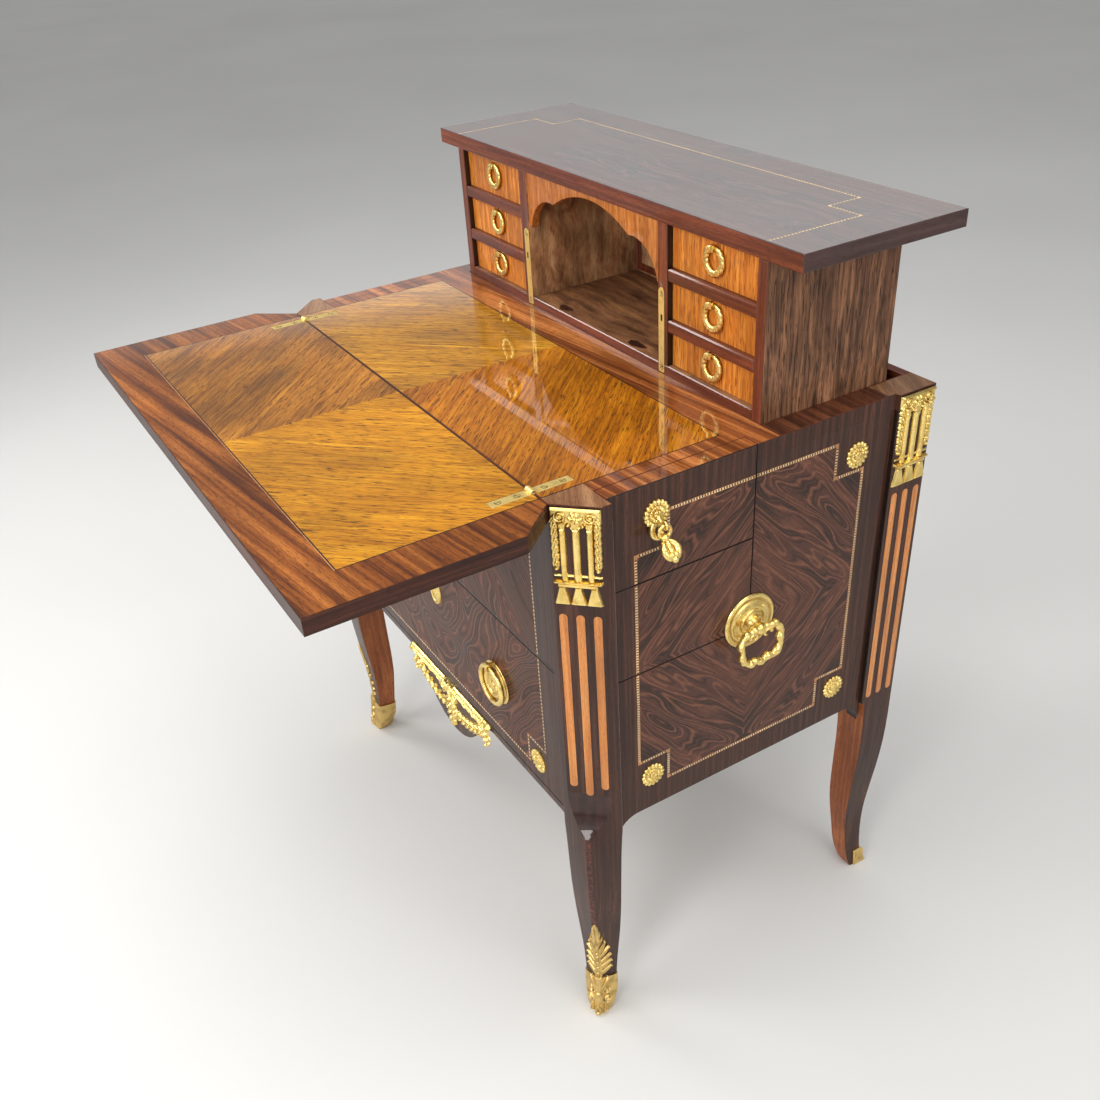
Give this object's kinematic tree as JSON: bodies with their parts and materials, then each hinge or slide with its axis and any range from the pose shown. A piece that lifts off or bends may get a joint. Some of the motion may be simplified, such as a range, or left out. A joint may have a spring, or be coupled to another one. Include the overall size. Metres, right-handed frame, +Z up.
{
  "type": "convertible desk",
  "caption": "Commode-shaped desk on cabriole legs whose top folds out on strap hinges; a box with small drawers and an arched pigeonhole rises behind it, with drawers at front and sides.",
  "frame": {"origin": "on the floor under the middle of the plan, with the leaf open", "axes": "+Z up, +X to the right seen from the front, the front faces -Y"},
  "size_m": [0.75, 0.7286, 0.925],
  "materials": {
    "rosewood": "polished figured veneer",
    "golden_veneer": "polished quartered veneer",
    "mahogany": "satin straight-grained wood",
    "drawer_veneer": "satin straight-grained veneer",
    "carcass_wood": "plain wood",
    "gilt_brass": "gilt, bright on the raised parts",
    "hinge_brass": "brushed",
    "steel": "drawn"
  },
  "bodies": {
    "carcass": {"writing_top": "golden_veneer", "front_posts": "rosewood", "rear_posts": "rosewood", "side_panels": "rosewood", "upper_front_panel": "rosewood", "front_apron": "rosewood", "back_panel": "carcass_wood", "bottom_board": "carcass_wood", "dust_boards": "carcass_wood", "well_walls": "carcass_wood", "drawer_guides": "carcass_wood", "lift_guides": "steel", "lift_springs": "steel", "top_hinge_straps": "hinge_brass", "catch_keepers": "hinge_brass", "post_mounts": "gilt_brass", "leg_sabots": "gilt_brass", "panel_rosettes": "gilt_brass", "apron_mount": "gilt_brass"},
    "leaf": {"writing_leaf": "golden_veneer", "leaf_hinge_straps": "hinge_brass"},
    "rising_box": {"box_sides": "mahogany", "box_bottom": "mahogany", "box_back": "carcass_wood", "box_partitions": "mahogany", "box_shelves": "mahogany", "arch_fascia": "mahogany", "box_top": "rosewood", "strike_plates": "hinge_brass", "lift_brackets": "steel"},
    "catch": {"catch_bar": "hinge_brass"},
    "bottom_drawer": {"bottom_drawer": "rosewood", "bottom_drawer_mounts": "gilt_brass"},
    "upper_right_small_drawer": {"upper_right_small_drawer": "drawer_veneer"},
    "upper_right_ring": {"upper_right_ring": "gilt_brass"},
    "middle_right_small_drawer": {"middle_right_small_drawer": "drawer_veneer"},
    "middle_right_ring": {"middle_right_ring": "gilt_brass"},
    "lower_right_small_drawer": {"lower_right_small_drawer": "drawer_veneer"},
    "lower_right_ring": {"lower_right_ring": "gilt_brass"},
    "upper_side_drawer_right": {"upper_side_drawer_right": "rosewood", "drop_plate_right": "gilt_brass"},
    "drop_pull_right": {"drop_pull_right": "gilt_brass"},
    "lower_side_drawer_right": {"lower_side_drawer_right": "rosewood", "bail_plate_right": "gilt_brass"},
    "bail_pull_right": {"bail_pull_right": "gilt_brass"},
    "bottom_ring_right": {"bottom_ring_right": "gilt_brass"},
    "upper_left_small_drawer": {"upper_left_small_drawer": "drawer_veneer"},
    "upper_left_ring": {"upper_left_ring": "gilt_brass"},
    "middle_left_small_drawer": {"middle_left_small_drawer": "drawer_veneer"},
    "middle_left_ring": {"middle_left_ring": "gilt_brass"},
    "lower_left_small_drawer": {"lower_left_small_drawer": "drawer_veneer"},
    "lower_left_ring": {"lower_left_ring": "gilt_brass"},
    "upper_side_drawer_left": {"upper_side_drawer_left": "rosewood", "drop_plate_left": "gilt_brass"},
    "drop_pull_left": {"drop_pull_left": "gilt_brass"},
    "lower_side_drawer_left": {"lower_side_drawer_left": "rosewood", "bail_plate_left": "gilt_brass"},
    "bail_pull_left": {"bail_pull_left": "gilt_brass"},
    "bottom_ring_left": {"bottom_ring_left": "gilt_brass"}
  },
  "joints": [
    {"name": "leaf_fold", "type": "hinge", "parent": "carcass", "child": "leaf", "pos_m": [0, -0.10575, 0.7403], "axis": [1, 0, 0], "range_deg": [-180, 0]},
    {"name": "box_lift", "type": "slide", "parent": "carcass", "child": "rising_box", "axis": [0, 0, 1], "range_m": [-0.1667, 0], "stiffness_N_per_m": 200, "springref_m": 0.45, "deforming": ["lift_springs"]},
    {"name": "catch_slide", "type": "slide", "parent": "carcass", "child": "catch", "axis": [0, 1, 0], "range_m": [0, 0.0045]},
    {"name": "bottom_drawer_slide", "type": "slide", "parent": "carcass", "child": "bottom_drawer", "axis": [0, -1, 0], "range_m": [0, 0.3]},
    {"name": "upper_right_small_drawer_slide", "type": "slide", "parent": "rising_box", "child": "upper_right_small_drawer", "axis": [0, -1, 0], "range_m": [0, 0.11]},
    {"name": "upper_right_ring_swing", "type": "hinge", "parent": "upper_right_small_drawer", "child": "upper_right_ring", "pos_m": [0.2275, 0.15795, 0.89875], "axis": [-1, 0, 0], "range_deg": [0, 80]},
    {"name": "middle_right_small_drawer_slide", "type": "slide", "parent": "rising_box", "child": "middle_right_small_drawer", "axis": [0, -1, 0], "range_m": [0, 0.11]},
    {"name": "middle_right_ring_swing", "type": "hinge", "parent": "middle_right_small_drawer", "child": "middle_right_ring", "pos_m": [0.2275, 0.15795, 0.84033], "axis": [-1, 0, 0], "range_deg": [0, 80]},
    {"name": "lower_right_small_drawer_slide", "type": "slide", "parent": "rising_box", "child": "lower_right_small_drawer", "axis": [0, -1, 0], "range_m": [0, 0.11]},
    {"name": "lower_right_ring_swing", "type": "hinge", "parent": "lower_right_small_drawer", "child": "lower_right_ring", "pos_m": [0.2275, 0.15795, 0.78542], "axis": [-1, 0, 0], "range_deg": [0, 80]},
    {"name": "upper_side_drawer_right_slide", "type": "slide", "parent": "carcass", "child": "upper_side_drawer_right", "axis": [1, 0, 0], "range_m": [0, 0.22]},
    {"name": "drop_pull_right_swing", "type": "hinge", "parent": "upper_side_drawer_right", "child": "drop_pull_right", "pos_m": [0.361, -0.00075, 0.698], "axis": [0, -1, 0], "range_deg": [0, 80]},
    {"name": "lower_side_drawer_right_slide", "type": "slide", "parent": "carcass", "child": "lower_side_drawer_right", "axis": [1, 0, 0], "range_m": [0, 0.22]},
    {"name": "bail_pull_right_swing", "type": "hinge", "parent": "lower_side_drawer_right", "child": "bail_pull_right", "pos_m": [0.367, 0.12325, 0.526], "axis": [0, -1, 0], "range_deg": [0, 80]},
    {"name": "bottom_ring_right_swing", "type": "hinge", "parent": "bottom_drawer", "child": "bottom_ring_right", "pos_m": [0.15, -0.10355, 0.439], "axis": [-1, 0, 0], "range_deg": [0, 80]},
    {"name": "upper_left_small_drawer_slide", "type": "slide", "parent": "rising_box", "child": "upper_left_small_drawer", "axis": [0, -1, 0], "range_m": [0, 0.11]},
    {"name": "upper_left_ring_swing", "type": "hinge", "parent": "upper_left_small_drawer", "child": "upper_left_ring", "pos_m": [-0.2275, 0.15795, 0.89875], "axis": [-1, 0, 0], "range_deg": [0, 80]},
    {"name": "middle_left_small_drawer_slide", "type": "slide", "parent": "rising_box", "child": "middle_left_small_drawer", "axis": [0, -1, 0], "range_m": [0, 0.11]},
    {"name": "middle_left_ring_swing", "type": "hinge", "parent": "middle_left_small_drawer", "child": "middle_left_ring", "pos_m": [-0.2275, 0.15795, 0.84033], "axis": [-1, 0, 0], "range_deg": [0, 80]},
    {"name": "lower_left_small_drawer_slide", "type": "slide", "parent": "rising_box", "child": "lower_left_small_drawer", "axis": [0, -1, 0], "range_m": [0, 0.11]},
    {"name": "lower_left_ring_swing", "type": "hinge", "parent": "lower_left_small_drawer", "child": "lower_left_ring", "pos_m": [-0.2275, 0.15795, 0.78542], "axis": [-1, 0, 0], "range_deg": [0, 80]},
    {"name": "upper_side_drawer_left_slide", "type": "slide", "parent": "carcass", "child": "upper_side_drawer_left", "axis": [-1, 0, 0], "range_m": [0, 0.22]},
    {"name": "drop_pull_left_swing", "type": "hinge", "parent": "upper_side_drawer_left", "child": "drop_pull_left", "pos_m": [-0.361, -0.00075, 0.698], "axis": [0, 1, 0], "range_deg": [0, 80]},
    {"name": "lower_side_drawer_left_slide", "type": "slide", "parent": "carcass", "child": "lower_side_drawer_left", "axis": [-1, 0, 0], "range_m": [0, 0.22]},
    {"name": "bail_pull_left_swing", "type": "hinge", "parent": "lower_side_drawer_left", "child": "bail_pull_left", "pos_m": [-0.367, 0.12325, 0.526], "axis": [0, 1, 0], "range_deg": [0, 80]},
    {"name": "bottom_ring_left_swing", "type": "hinge", "parent": "bottom_drawer", "child": "bottom_ring_left", "pos_m": [-0.15, -0.10355, 0.439], "axis": [-1, 0, 0], "range_deg": [0, 80]}
  ]
}
